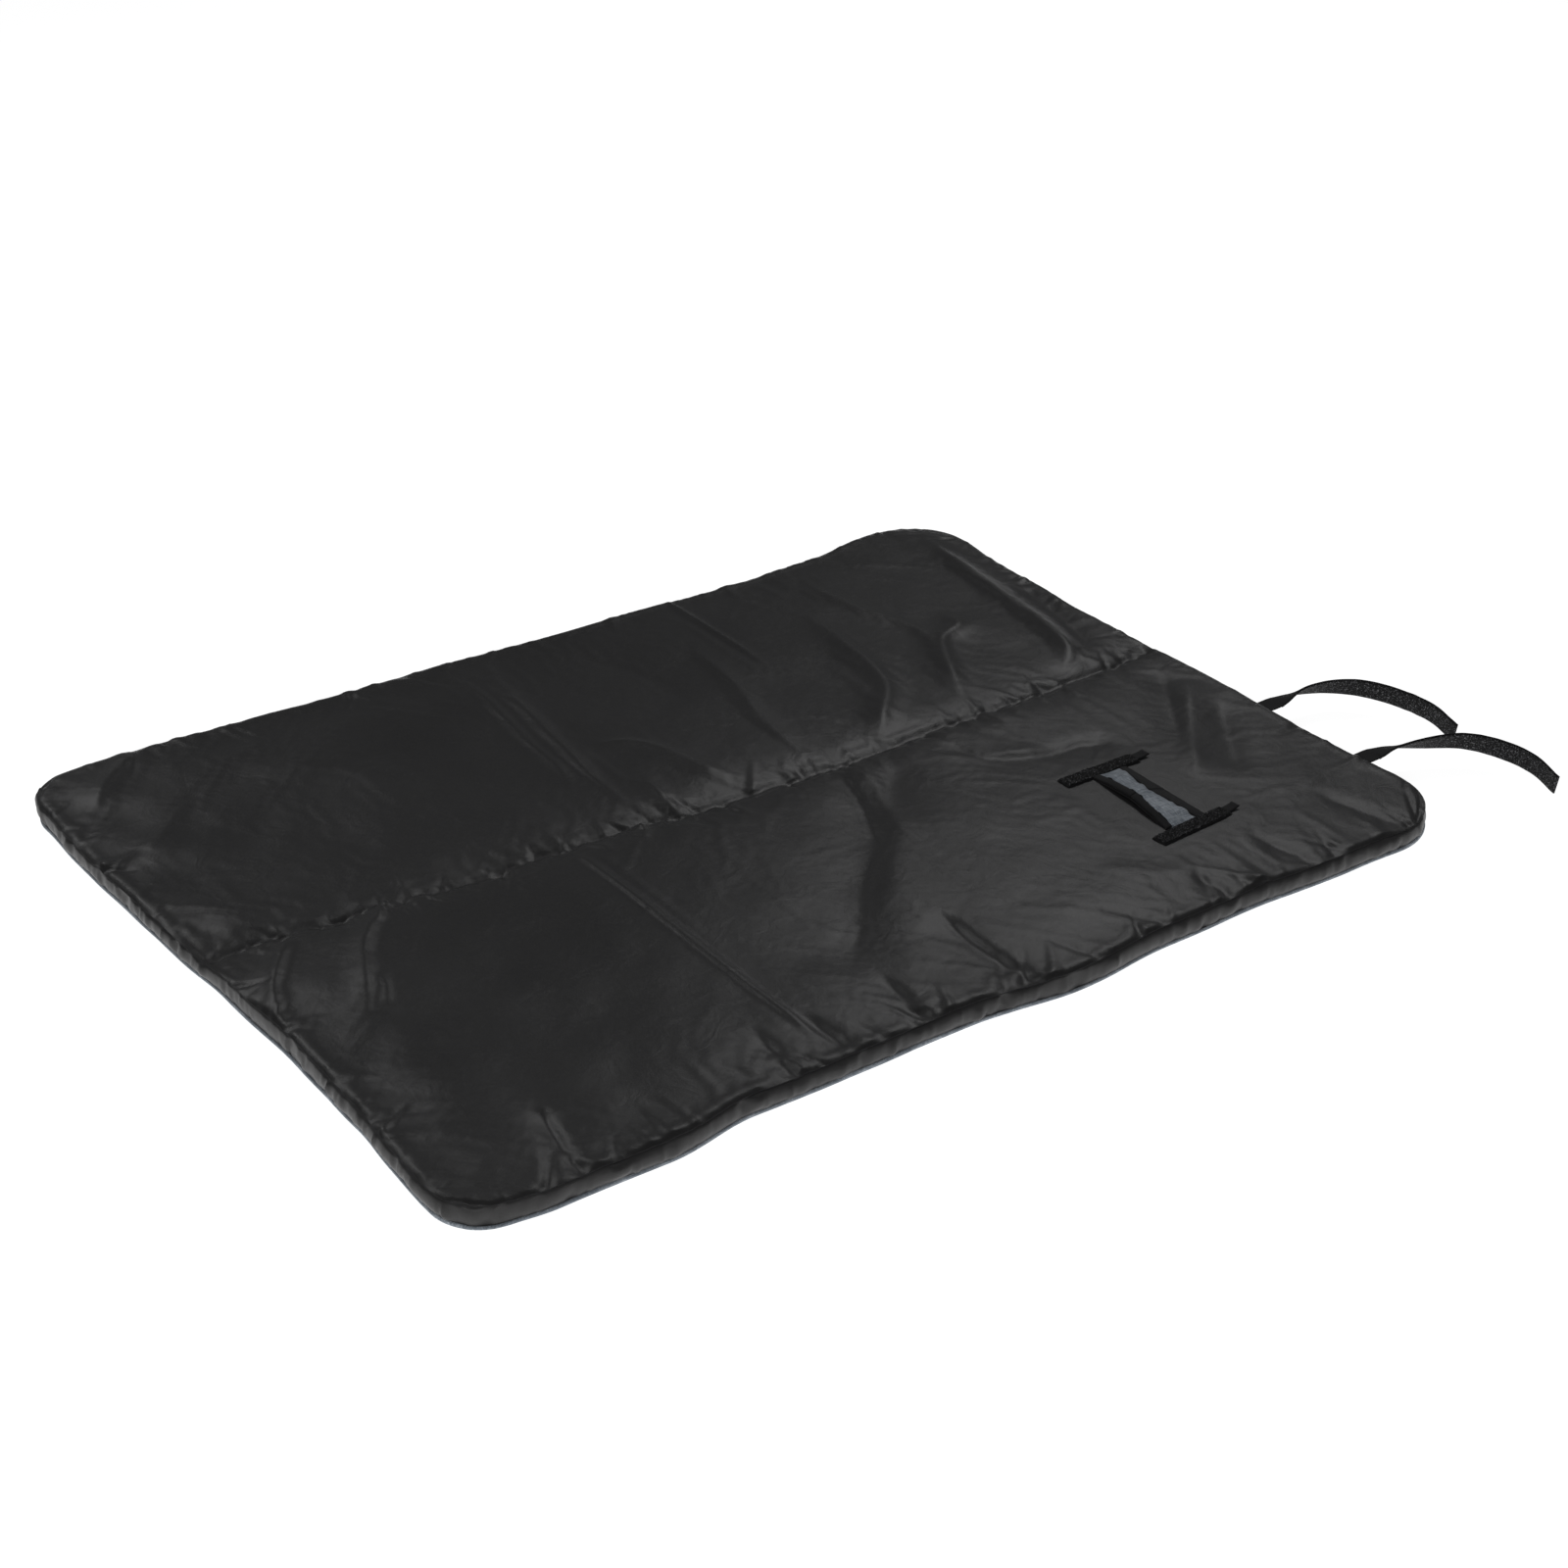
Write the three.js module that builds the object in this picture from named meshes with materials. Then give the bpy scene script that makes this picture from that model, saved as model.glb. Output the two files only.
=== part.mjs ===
// A padded folding mat: two wadding-filled halves in a waterproof top cover, a soft underside and a
// boxed edge strip, joined along a sewn centre fold. One end carries a carry handle between two
// hook-and-loop patches, and two closing straps. Millimetres, +Z up; the origin is the mat's centre
// on the surface it lies on, +X runs along the fold and +Y across it.
import * as THREE from 'three';

// Overall sizes
const LENGTH = 1000;
const WIDTH = 750;
const THICKNESS = 22;
const CORNER_RADIUS = 60;
const CLEARANCE = 0.3;

// Covers and edge
const TOP_COVER = 1.0;
const UNDERSIDE = 1.2;
const EDGE_STRIP = 1.2;
const PIPING = 1.8;
const JOIN_TAPE_WIDTH = 10;
const JOIN_TAPE_THICKNESS = 0.8;
const JOIN_TAPE_X = [-62, 66];

// Centre fold: the halves stop short of the fold line, and a sewn web fills the space between them
const FOLD_HALF_GAP = 3.5;
const WEB_THICKNESS = 9;
const SEAM_THREAD_WIDTH = 1.6;
const SEAM_THREAD_HEIGHT = 0.8;

// Carry handle, sewn across the near half by both ends
const HANDLE_X = 288;
const HANDLE_Y = -209;
const HANDLE_TURN = -4;
const HANDLE_SPAN = 99;
const HANDLE_WIDTH = 37;
const HANDLE_FACE_WIDTH = 21;
const HANDLE_WEBBING = 1.4;
const HANDLE_FACE = 1.0;
const HANDLE_BINDING = 1.6;
const HANDLE_RISE = 6.2;

// Hook-and-loop patches beside the handle, each with a short pull tab
const PATCH_LENGTH = 84;
const PATCH_WIDTH = 16;
const PATCH_BACKING = 0.8;
const PATCH_PILE = 1.2;
const PATCH_X = 286;
const PATCH_HANDLE_GAP = 3.5;
const TAB_LENGTH = 14;
const TAB_WIDTH = 10;
const TAB_THICKNESS = 1.6;
const PATCHES = [
  { name: 'far', side: 1, turn: 0 },
  { name: 'near', side: -1, turn: 5 },
];

// Closing straps: a flat root sewn into the end seam, then a ribbon that turns on edge and curls round
const STRAP_WIDTH = 20;
const STRAP_WEBBING = 1.0;
const STRAP_HOOK_TAPE = 1.2;
const STRAP_HOOK_WIDTH = 19;
const STRAP_ROOT_LENGTH = 12;
const STRAP_DEPTH = 3.4; // underside of the root below the top of the mat
const STRAPS = [
  {
    name: 'far',
    route: [[0, -133.5, 0], [8, -133.5, 0.8], [31, -134.5, 4.2], [61, -143.5, 3.8], [85, -166, 3.6],
      [100.5, -197, 1.6], [107.5, -231, -1.4], [106, -263, -8.4]],
    turns: [0, 8, 42, 62, 78, 83, 86, 88],
  },
  {
    name: 'near',
    route: [[0, -259, 0], [7, -259.5, 0.7], [24, -263.5, 3.2], [52, -276, 4.2], [81, -293, 4.2],
      [99.5, -321, 2.4], [108, -353, -1.4], [105, -385, -8.4]],
    turns: [0, 6, 28, 56, 72, 84, 88, 88],
  },
];
const STRAP_HINGE_GAP = 1;
const RIBBON_STEPS = 36;

// Facets in a rounded corner and along the handle's arch
const CORNER_STEPS = 12;
const ARCH_STEPS = 16;

const COLOURS = {
  cover: [0x2b2c2e, 0.42],
  underside: [0x68707b, 0.95],
  edge: [0x1b1b1d, 0.6],
  wadding: [0xe9e8e2, 1.0],
  webbing: [0x141416, 0.85],
  pile: [0x0d0d0e, 1.0],
  thread: [0x101012, 0.7],
};

const mat = new THREE.Group();

function material(kind) {
  const [color, roughness] = COLOURS[kind];
  return new THREE.MeshStandardMaterial({ color, roughness, metalness: 0 });
}

function add(name, geometry, kind, place = [0, 0, 0], turn = 0) {
  const mesh = new THREE.Mesh(geometry, material(kind));
  mesh.name = name;
  mesh.position.set(...place);
  mesh.rotation.z = THREE.MathUtils.degToRad(turn);
  mat.add(mesh);
}

// Outline of one half, `inset` inside its outer edge and `fold` from the fold line, on the -Y side
function halfOutline(inset, fold) {
  const x = LENGTH / 2 - inset;
  const y = WIDTH / 2 - inset;
  const r = CORNER_RADIUS - inset;
  const outline = new THREE.Shape();
  outline.moveTo(x, -fold);
  outline.lineTo(-x, -fold);
  outline.lineTo(-x, -y + r);
  outline.absarc(-x + r, -y + r, r, Math.PI, 1.5 * Math.PI, false);
  outline.lineTo(x - r, -y);
  outline.absarc(x - r, -y + r, r, 1.5 * Math.PI, 2 * Math.PI, false);
  return outline;
}

// A wall that follows the three outer sides of one half, from `inset` to `inset + width`
function wallOutline(inset, width) {
  const outer = halfOutline(inset, FOLD_HALF_GAP).getPoints(CORNER_STEPS);
  const inner = halfOutline(inset + width, FOLD_HALF_GAP).getPoints(CORNER_STEPS);
  return new THREE.Shape([...outer.slice(1), outer[0], inner[0], ...inner.slice(1).reverse()]);
}

function plate(shape, depth) {
  return new THREE.ExtrudeGeometry(shape, { depth, bevelEnabled: false, curveSegments: CORNER_STEPS });
}

function rectangle(length, width) {
  const shape = new THREE.Shape();
  shape.moveTo(-length / 2, -width / 2);
  shape.lineTo(length / 2, -width / 2);
  shape.lineTo(length / 2, width / 2);
  shape.lineTo(-length / 2, width / 2);
  return shape;
}

// The layers of one half, from the underside up; the far half is the near one turned half round
function addHalf(name, turn) {
  const coverZ = THICKNESS - TOP_COVER;
  const wallBottom = UNDERSIDE + CLEARANCE;
  const pipingZ = THICKNESS - PIPING;
  const lining = EDGE_STRIP + CLEARANCE;
  add(`${name}_underside`, plate(halfOutline(0, FOLD_HALF_GAP), UNDERSIDE), 'underside', [0, 0, 0], turn);
  add(`${name}_edge_strip`, plate(wallOutline(0, EDGE_STRIP), pipingZ - CLEARANCE - wallBottom), 'edge',
    [0, 0, wallBottom], turn);
  add(`${name}_top_piping`, plate(wallOutline(0, PIPING), PIPING), 'edge', [0, 0, pipingZ], turn);
  add(`${name}_wadding`, plate(halfOutline(lining, FOLD_HALF_GAP), pipingZ - CLEARANCE - wallBottom),
    'wadding', [0, 0, wallBottom], turn);
  const batting = plate(halfOutline(PIPING + CLEARANCE, FOLD_HALF_GAP), PIPING - TOP_COVER - CLEARANCE);
  add(`${name}_top_batting`, batting, 'wadding', [0, 0, pipingZ], turn);
  add(`${name}_top_cover`, plate(halfOutline(PIPING + CLEARANCE, FOLD_HALF_GAP), TOP_COVER), 'cover',
    [0, 0, coverZ], turn);
}

addHalf('near', 0);
addHalf('far', 180);

// Tape over each join in the near edge strip
for (const [i, x] of JOIN_TAPE_X.entries()) {
  const height = THICKNESS - PIPING - UNDERSIDE - 4 * CLEARANCE;
  const tape = plate(rectangle(JOIN_TAPE_WIDTH, JOIN_TAPE_THICKNESS), height);
  const y = -WIDTH / 2 - CLEARANCE - JOIN_TAPE_THICKNESS / 2;
  add(`edge_join_tape_${i + 1}`, tape, 'edge', [x, y, UNDERSIDE + 2 * CLEARANCE]);
}

// Sewn web along the fold, with its two lines of stitching on top
const webWidth = 2 * (FOLD_HALF_GAP - CLEARANCE);
add('fold_web', plate(rectangle(LENGTH, webWidth), WEB_THICKNESS), 'cover');
for (const side of [-1, 1]) {
  const thread = plate(rectangle(LENGTH - CORNER_RADIUS, SEAM_THREAD_WIDTH), SEAM_THREAD_HEIGHT);
  const place = [0, side * webWidth / 4, WEB_THICKNESS + CLEARANCE];
  add(`fold_stitching_${side < 0 ? 'near' : 'far'}`, thread, 'thread', place);
}

// Hook-and-loop patches: backing tape sewn to the cover, loop pile on it, pull tab at the outer end
const patchZ = THICKNESS + CLEARANCE;
const patchPitch = HANDLE_SPAN + PATCH_WIDTH + 2 * PATCH_HANDLE_GAP;
for (const { name, side, turn } of PATCHES) {
  const centre = [PATCH_X, HANDLE_Y + side * patchPitch / 2];
  const angle = THREE.MathUtils.degToRad(turn);
  const along = (d) => [centre[0] + d * Math.cos(angle), centre[1] + d * Math.sin(angle)];
  const tabCentre = along(PATCH_LENGTH / 2 + CLEARANCE + TAB_LENGTH / 2);
  add(`${name}_patch_backing`, plate(rectangle(PATCH_LENGTH, PATCH_WIDTH), PATCH_BACKING), 'webbing',
    [...centre, patchZ], turn);
  add(`${name}_patch_pile`, plate(rectangle(PATCH_LENGTH, PATCH_WIDTH), PATCH_PILE), 'pile',
    [...centre, patchZ + PATCH_BACKING + CLEARANCE], turn);
  add(`${name}_patch_tab`, plate(rectangle(TAB_LENGTH, TAB_WIDTH), TAB_THICKNESS), 'webbing',
    [...tabCentre, patchZ], turn);
}

// Handle: an arched band of webbing with a soft face between two bound edges, sewn down at both ends.
// The arch is drawn in the Y-Z plane and extruded along X.
function arch(bottom, thickness, width) {
  const height = (s) => HANDLE_RISE * Math.sin(Math.PI * s);
  const steps = Array.from({ length: ARCH_STEPS + 1 }, (_, i) => i / ARCH_STEPS);
  const lower = steps.map((s) => new THREE.Vector2((s - 0.5) * HANDLE_SPAN, bottom + height(s)));
  const upper = lower.map((p) => new THREE.Vector2(p.x, p.y + thickness)).reverse();
  const band = plate(new THREE.Shape([...lower, ...upper]), width);
  band.rotateX(Math.PI / 2);
  band.rotateZ(Math.PI / 2);
  return band;
}
const bandZ = THICKNESS + CLEARANCE;
const faceZ = bandZ + HANDLE_WEBBING + CLEARANCE;
const bindingWidth = (HANDLE_WIDTH - HANDLE_FACE_WIDTH) / 2 - CLEARANCE;
const bindingOffset = HANDLE_FACE_WIDTH / 2 + CLEARANCE + bindingWidth / 2;
function addArch(name, bottom, thickness, width, offset, kind) {
  const band = arch(bottom, thickness, width).translate(offset - width / 2, 0, 0);
  add(name, band, kind, [HANDLE_X, HANDLE_Y, 0], HANDLE_TURN);
}
addArch('handle_webbing', bandZ, HANDLE_WEBBING, HANDLE_WIDTH, 0, 'webbing');
addArch('handle_face', faceZ, HANDLE_FACE, HANDLE_FACE_WIDTH, 0, 'underside');
addArch('handle_left_binding', faceZ, HANDLE_BINDING, bindingWidth, -bindingOffset, 'webbing');
addArch('handle_right_binding', faceZ, HANDLE_BINDING, bindingWidth, bindingOffset, 'webbing');

// Closing straps
function addStrap({ name, route, turns }) {
  const rootX = LENGTH / 2 + CLEARANCE;
  const freeX = rootX + STRAP_ROOT_LENGTH + STRAP_HINGE_GAP;
  const rootZ = THICKNESS - STRAP_DEPTH;
  const freeZ = rootZ + STRAP_WEBBING / 2;
  const [, y] = route[0];
  add(`${name}_strap_root`, plate(rectangle(STRAP_ROOT_LENGTH, STRAP_WIDTH), STRAP_WEBBING), 'webbing',
    [rootX + STRAP_ROOT_LENGTH / 2, y, rootZ]);
  const points = route.map(([dx, py, dz]) => new THREE.Vector3(freeX + dx, py, freeZ + dz));
  const hookOffset = -(STRAP_WEBBING + STRAP_HOOK_TAPE) / 2 - CLEARANCE;
  add(`${name}_strap_webbing`, ribbon(points, turns, STRAP_WIDTH, STRAP_WEBBING, 0), 'webbing');
  add(`${name}_strap_hook_tape`, ribbon(points, turns, STRAP_HOOK_WIDTH, STRAP_HOOK_TAPE, hookOffset),
    'pile');
}

// A flat ribbon along a curve through `points`, turned about its own line by `turns` degrees
function ribbon(points, turns, width, thickness, offset) {
  const curve = new THREE.CatmullRomCurve3(points, false, 'centripetal');
  const turnAt = new THREE.CatmullRomCurve3(turns.map((t, i) => new THREE.Vector3(i, t, 0)));
  const vertices = [];
  for (let i = 0; i <= RIBBON_STEPS; i++) {
    const t = i / RIBBON_STEPS;
    const centre = curve.getPoint(t);
    const along = curve.getTangent(t);
    const across = new THREE.Vector3(along.y, -along.x, 0).normalize();
    across.applyAxisAngle(along, -THREE.MathUtils.degToRad(turnAt.getPoint(t).y));
    const face = new THREE.Vector3().crossVectors(across, along).normalize();
    centre.addScaledVector(face, offset);
    for (const [w, h] of [[-1, -1], [1, -1], [1, 1], [-1, 1]]) {
      const corner = centre.clone().addScaledVector(across, w * width / 2);
      vertices.push(...corner.addScaledVector(face, h * thickness / 2).toArray());
    }
  }
  const faces = [[0, 1, 2], [0, 2, 3]];
  for (let i = 0; i < RIBBON_STEPS; i++) {
    for (let k = 0; k < 4; k++) {
      const [a, b] = [4 * i + k, 4 * i + (k + 1) % 4];
      faces.push([a, a + 4, b + 4], [a, b + 4, b]);
    }
  }
  const last = 4 * RIBBON_STEPS;
  faces.push([last, last + 2, last + 1], [last, last + 3, last + 2]);
  const geometry = new THREE.BufferGeometry();
  geometry.setAttribute('position', new THREE.Float32BufferAttribute(vertices, 3));
  geometry.setIndex(faces.flat());
  return geometry;
}

STRAPS.forEach(addStrap);

export default mat;
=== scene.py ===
import math

import bpy
import numpy as np
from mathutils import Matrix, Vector


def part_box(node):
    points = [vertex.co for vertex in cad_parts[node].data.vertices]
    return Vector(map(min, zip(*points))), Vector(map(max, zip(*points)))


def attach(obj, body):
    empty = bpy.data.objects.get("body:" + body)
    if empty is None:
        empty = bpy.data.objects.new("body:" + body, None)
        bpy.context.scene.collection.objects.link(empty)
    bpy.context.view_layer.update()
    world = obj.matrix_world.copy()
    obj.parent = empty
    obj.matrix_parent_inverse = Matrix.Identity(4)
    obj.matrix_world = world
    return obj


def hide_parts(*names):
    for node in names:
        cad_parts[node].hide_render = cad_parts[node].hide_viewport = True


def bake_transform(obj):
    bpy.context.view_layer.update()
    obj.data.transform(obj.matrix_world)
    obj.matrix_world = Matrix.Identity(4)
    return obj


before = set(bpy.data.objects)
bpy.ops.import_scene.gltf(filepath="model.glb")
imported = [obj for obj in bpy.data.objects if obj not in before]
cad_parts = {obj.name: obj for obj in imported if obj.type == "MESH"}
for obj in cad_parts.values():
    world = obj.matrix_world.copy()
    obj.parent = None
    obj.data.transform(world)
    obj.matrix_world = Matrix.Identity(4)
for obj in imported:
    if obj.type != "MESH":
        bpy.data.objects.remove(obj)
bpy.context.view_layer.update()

# A padded folding mat: one waterproof top cover and one soft underside over wadding, an edge strip
# between them, a sewn centre fold, a carry handle, two hook-and-loop patches and two closing straps.
# Metres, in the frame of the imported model. Millimetre values are written as value * MM.

MM = 0.001
HALF_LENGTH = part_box("far_underside")[1].x
HALF_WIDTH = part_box("far_underside")[1].y
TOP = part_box("near_top_cover")[1].z

# Where the handle and its two patches are sewn on
PATCHES_LOW = Vector(map(min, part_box("near_patch_backing")[0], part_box("far_patch_backing")[0]))
PATCHES_HIGH = Vector(map(max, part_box("near_patch_tab")[1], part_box("far_patch_tab")[1]))
HANDLE_CENTRE = (PATCHES_LOW + PATCHES_HIGH) / 2
HANDLE_REACH = (PATCHES_HIGH - PATCHES_LOW) / 2

# Shape of the padded mat, in metres
CORNER_RADIUS = {(-1, -1): 0.040, (-1, 1): 0.048, (1, -1): 0.072, (1, 1): 0.076}
SEAM_HEIGHT = 0.0206          # the seam between top cover and edge strip
CROWN = 0.0022                # how far the padding stands above the CAD top at its fullest
SHOULDER = 0.0045             # width of the steep part of the slope from the seam up to the padding
FOLD_DEPTH = 0.0085           # how far the sewn centre line is pulled down
GRID = (400, 300)             # quads of the top cover along X and Y

# The simulated settling of the cover
SIM_GRID = (150, 112)         # quads of the coarser cover that is simulated
SIM_FRAMES = 12
LOOSENESS = 0.007             # how much larger the cover is cut than the wadding it lies on
MOST_SETTLING = 0.006         # longest movement that is kept
SLACK_SHARE = 0.33            # share of the movement that shows; the sewn tucks take up the rest


# ---------------------------------------------------------------- small helpers

def smooth(t):
    t = np.clip(t, 0, 1)
    return t * t * (3 - 2 * t)


def through(x, points):
    """A smooth curve through (x, value) points, flat beyond its ends."""
    px, py = np.array(points, float).T
    i = np.clip(np.searchsorted(px, x) - 1, 0, len(px) - 2)
    t = (x - px[i]) / (px[i + 1] - px[i])
    return py[i] + (py[i + 1] - py[i]) * smooth(t)


def lattice_noise(x, y, size, seed):
    """A smooth random field between -1 and 1, with features about `size` across."""
    values = np.random.default_rng(seed).uniform(-1, 1, (97, 89))
    gx, gy = np.asarray(x) / size + 1000, np.asarray(y) / size + 1000
    ix, iy = np.floor(gx).astype(int), np.floor(gy).astype(int)
    fx, fy = smooth(gx - ix), smooth(gy - iy)
    a = values[ix % 97, iy % 89] * (1 - fx) + values[(ix + 1) % 97, iy % 89] * fx
    b = values[ix % 97, (iy + 1) % 89] * (1 - fx) + values[(ix + 1) % 97, (iy + 1) % 89] * fx
    return a * (1 - fy) + b * fy


def line_noise(s, size, seed):
    """Smooth random values between -1 and 1 along a line."""
    return lattice_noise(s, np.full_like(s, seed * 7.3 * size), size, seed)


def spline(points, steps):
    """Points of a Catmull-Rom curve, `steps` for each span."""
    p = np.array(points, float)
    p = np.vstack([2 * p[0] - p[1], p, 2 * p[-1] - p[-2]])
    out = []
    for i in range(1, len(p) - 2):
        for t in np.arange(steps) / steps:
            out.append(0.5 * (2 * p[i] + (p[i + 1] - p[i - 1]) * t
                              + (2 * p[i - 1] - 5 * p[i] + 4 * p[i + 1] - p[i + 2]) * t ** 2
                              + (3 * p[i] - p[i - 1] - 3 * p[i + 1] + p[i + 2]) * t ** 3))
    return np.array(out + [p[-2]])


def grid_faces(columns, rows, closed=False):
    """Quads between rows + 1 rows of points. A closed grid joins its last column to its first."""
    width = columns if closed else columns + 1
    r, c = np.meshgrid(np.arange(rows), np.arange(columns), indexing="ij")
    a = r * width + c
    b = r * width + (c + 1) % width
    return np.stack([a, b, b + width, a + width], -1).reshape(-1, 4).tolist()


def new_piece(name, points, faces, material, along=None):
    """A smooth-shaded mesh object. Its material reads two attributes: the resting points, and the place
    along a strip where the piece has one."""
    mesh = bpy.data.meshes.new(name)
    points = np.asarray(points, float).reshape(-1, 3)
    mesh.from_pydata(points.tolist(), [], faces)
    mesh.shade_smooth()
    for label, values in (("rest", points), ("along", points if along is None else along)):
        attribute = mesh.attributes.new(label, "FLOAT_VECTOR", "POINT")
        attribute.data.foreach_set("vector", np.asarray(values, np.float32).ravel())
    mesh.materials.append(material)
    piece = bpy.data.objects.new(name, mesh)
    bpy.context.scene.collection.objects.link(piece)
    return piece


# ---------------------------------------------------------------- materials

BANDS_PER_UNIT = 3.18         # bands of a wave texture in one unit, at scale 1
TWIST_PITCH = 0.4492 * MM     # from one turn of a sewing thread to the next


class Nodes:
    """A new principled material and short calls for its nodes."""

    def __init__(self, name, color, roughness, specular=0.5):
        self.material = bpy.data.materials.new(name)
        self.material.use_nodes = True
        self.tree = self.material.node_tree
        self.shader = self.tree.nodes["Principled BSDF"]
        self.shader.inputs["Base Color"].default_value = (*color, 1)
        self.shader.inputs["Roughness"].default_value = roughness
        self.shader.inputs["Specular IOR Level"].default_value = specular

    def link(self, source, target):
        self.tree.links.new(source, target)

    def coordinates(self, label, scale=(1, 1, 1)):
        """The attribute `label` of the mesh, scaled."""
        source = self.tree.nodes.new("ShaderNodeAttribute")
        source.attribute_name = label
        mapping = self.tree.nodes.new("ShaderNodeMapping")
        mapping.inputs["Scale"].default_value = scale
        self.link(source.outputs["Vector"], mapping.inputs["Vector"])
        return mapping.outputs["Vector"]

    def noise(self, vector, scale, detail=3.0, roughness=0.5, distortion=0.0):
        node = self.tree.nodes.new("ShaderNodeTexNoise")
        node.inputs["Scale"].default_value = scale
        node.inputs["Detail"].default_value = detail
        node.inputs["Roughness"].default_value = roughness
        node.inputs["Distortion"].default_value = distortion
        self.link(vector, node.inputs["Vector"])
        return node.outputs["Fac"]

    def bands(self, vector, pitch, direction, distortion=0.0):
        """Soft bands, `pitch` metres from one to the next."""
        node = self.tree.nodes.new("ShaderNodeTexWave")
        node.bands_direction = direction
        node.inputs["Scale"].default_value = 1 / pitch / BANDS_PER_UNIT
        node.inputs["Distortion"].default_value = distortion
        node.inputs["Detail"].default_value = 1.0
        self.link(vector, node.inputs["Vector"])
        return node.outputs["Fac"]

    def math(self, operation, a, b):
        node = self.tree.nodes.new("ShaderNodeMath")
        node.operation = operation
        for socket, value in zip(node.inputs, (a, b)):
            if isinstance(value, (int, float)):
                socket.default_value = value
            else:
                self.link(value, socket)
        return node.outputs[0]

    def ramp(self, value, stops):
        node = self.tree.nodes.new("ShaderNodeValToRGB")
        elements = node.color_ramp.elements
        while len(elements) < len(stops):
            elements.new(0.5)
        for element, (place, color) in zip(elements, stops):
            element.position = place
            element.color = (*color, 1)
        self.link(value, node.inputs["Fac"])
        return node.outputs["Color"]

    def span(self, value, low, high):
        node = self.tree.nodes.new("ShaderNodeMapRange")
        node.inputs["To Min"].default_value = low
        node.inputs["To Max"].default_value = high
        self.link(value, node.inputs["Value"])
        return node.outputs["Result"]

    def bump(self, *layers):
        """Each layer is (height, distance in metres, strength); later layers sit on earlier ones."""
        normal = None
        for height, distance, strength in layers:
            node = self.tree.nodes.new("ShaderNodeBump")
            node.inputs["Distance"].default_value = distance
            node.inputs["Strength"].default_value = strength
            self.link(height, node.inputs["Height"])
            if normal is not None:
                self.link(normal, node.inputs["Normal"])
            normal = node.outputs["Normal"]
        self.link(normal, self.shader.inputs["Normal"])

    def weave(self, pitch):
        """Crossed threads, `pitch` metres apart."""
        vector = self.coordinates("rest")
        warp = self.bands(vector, pitch, "X", 0.3)
        weft = self.bands(vector, pitch, "Y", 0.3)
        return self.math("MULTIPLY", self.math("ADD", warp, weft), 0.5)


def coated_cloth(name, color, roughness, specular):
    """Satin coated nylon: fine weave, faint crinkles, dust and a slightly uneven gloss."""
    cloth = Nodes(name, color, roughness, specular)
    place = cloth.coordinates("rest")
    blotch = cloth.noise(place, 6.0, 4.0, 0.55, 0.6)
    speck = cloth.noise(place, 900.0, 2.0)
    crinkle = cloth.noise(place, 38.0, 5.0, 0.55, 1.4)
    mixed = cloth.math("ADD", cloth.math("MULTIPLY", blotch, 0.8), cloth.math("MULTIPLY", speck, 0.2))
    dark, light = [tuple(c * f for c in color) for f in (0.82, 1.22)]
    cloth.link(cloth.ramp(mixed, [(0.3, dark), (0.7, light)]), cloth.shader.inputs["Base Color"])
    cloth.link(cloth.span(blotch, roughness - 0.06, roughness + 0.07), cloth.shader.inputs["Roughness"])
    cloth.shader.inputs["Sheen Weight"].default_value = 0.06
    cloth.shader.inputs["Sheen Roughness"].default_value = 0.4
    cloth.bump((crinkle, 0.0011, 0.45), (cloth.weave(0.62 * MM), 0.00012, 0.35))
    return cloth.material


def heather_cloth(name):
    """Blue-grey fabric of mixed light and dark yarns."""
    cloth = Nodes(name, (0.12, 0.14, 0.17), 0.92, 0.15)
    yarn_x = cloth.noise(cloth.coordinates("rest", (90, 1400, 400)), 1.0, 2.0, 0.6)
    yarn_y = cloth.noise(cloth.coordinates("rest", (1400, 90, 400)), 1.0, 2.0, 0.6)
    shade = cloth.noise(cloth.coordinates("rest"), 22.0, 3.0)
    mixed = cloth.math("ADD", cloth.math("MULTIPLY", cloth.math("ADD", yarn_x, yarn_y), 0.34),
                       cloth.math("MULTIPLY", shade, 0.32))
    shades = [(0.36, (0.10, 0.118, 0.142)), (0.5, (0.215, 0.245, 0.28)), (0.62, (0.48, 0.52, 0.57))]
    cloth.link(cloth.ramp(mixed, shades), cloth.shader.inputs["Base Color"])
    cloth.shader.inputs["Sheen Weight"].default_value = 0.25
    cloth.shader.inputs["Sheen Roughness"].default_value = 0.6
    cloth.bump((cloth.weave(0.8 * MM), 0.0003, 0.6), (mixed, 0.0004, 0.5))
    return cloth.material


def ribbed_tape(name):
    """Woven polyester tape with fine ribs across its length."""
    tape = Nodes(name, (0.0065, 0.0065, 0.007), 0.8, 0.22)
    fibre = tape.noise(tape.coordinates("along", (300, 2500, 600)), 1.0, 2.0)
    ribs = tape.bands(tape.coordinates("along"), 1.1 * MM, "X", 0.2)
    shades = [(0.3, (0.005, 0.005, 0.0055)), (0.7, (0.013, 0.013, 0.014))]
    tape.link(tape.ramp(fibre, shades), tape.shader.inputs["Base Color"])
    tape.shader.inputs["Sheen Weight"].default_value = 0.05
    tape.bump((ribs, 0.0003, 0.5), (fibre, 0.0002, 0.4))
    return tape.material


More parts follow.
